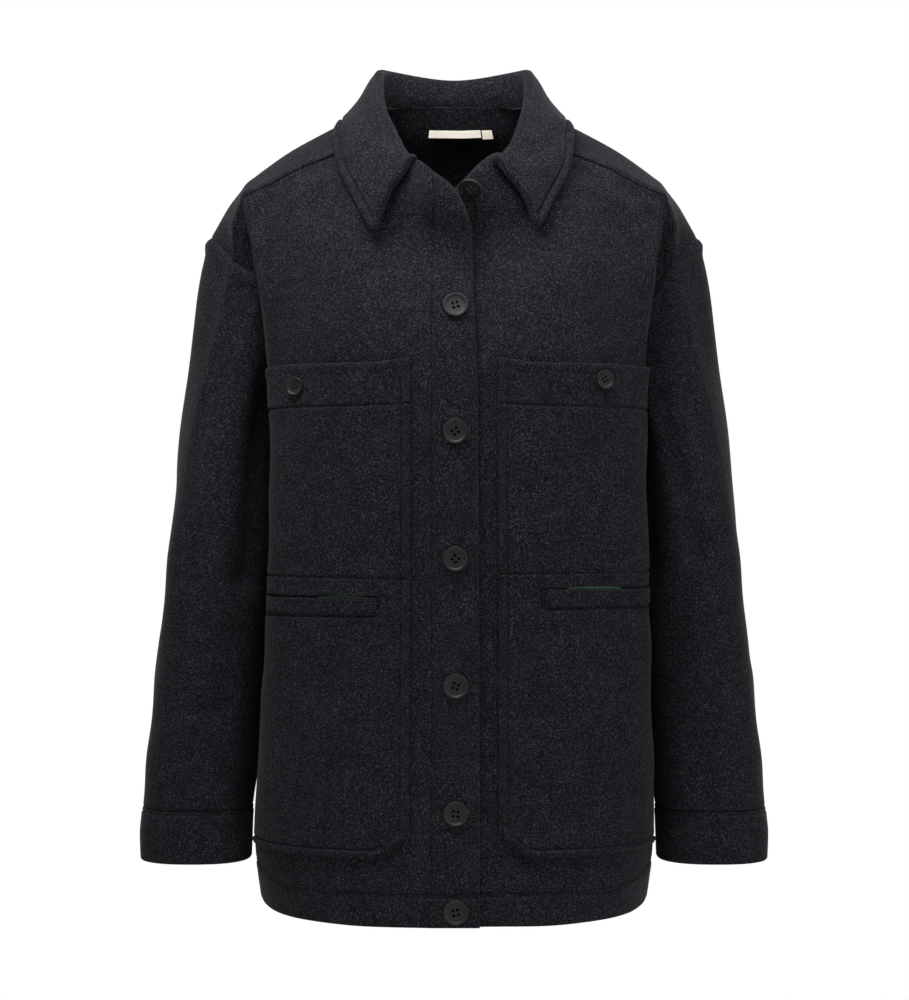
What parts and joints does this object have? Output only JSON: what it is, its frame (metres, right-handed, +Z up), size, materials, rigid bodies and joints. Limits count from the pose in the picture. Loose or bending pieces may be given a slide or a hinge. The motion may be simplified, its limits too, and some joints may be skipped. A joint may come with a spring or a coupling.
{
  "type": "lumber jacket",
  "caption": "Charcoal wool shirt jacket, worn open at the top, with fold-down collar, yoke, tall patch pockets, button front, cuffs and hem band, filled out and hollow.",
  "frame": {"origin": "centre of the neck at the height of the high shoulder points, where the wearer holds the jacket up", "axes": "+Z up, -Y the way the front faces, +X the wearer's left"},
  "size_m": [0.5806, 0.3016, 0.7766],
  "materials": {
    "wool": "brushed melange wool, charcoal",
    "button": "matte, raised rim",
    "lining": "plain green lining",
    "label": "cream woven tape, bare"
  },
  "bodies": {
    "root": {"back": "wool", "button_1": "button", "button_2": "button", "button_3": "button", "button_4": "button", "button_5": "button", "button_6": "button", "button_pocket_left": "button", "button_pocket_right": "button", "button_top": "button", "collar": "wool", "cuff_left": "wool", "cuff_right": "wool", "front_left": "wool", "front_right": "wool", "hem_band": "wool", "neck_label": "label", "placket_left": "wool", "placket_right": "wool", "pocket_left": "wool", "pocket_lining_left": "lining", "pocket_lining_right": "lining", "pocket_right": "wool", "size_tab": "label", "sleeve_left": "wool", "sleeve_right": "wool", "welt_left": "wool", "welt_right": "wool", "yoke": "wool"}
  },
  "joints": []
}
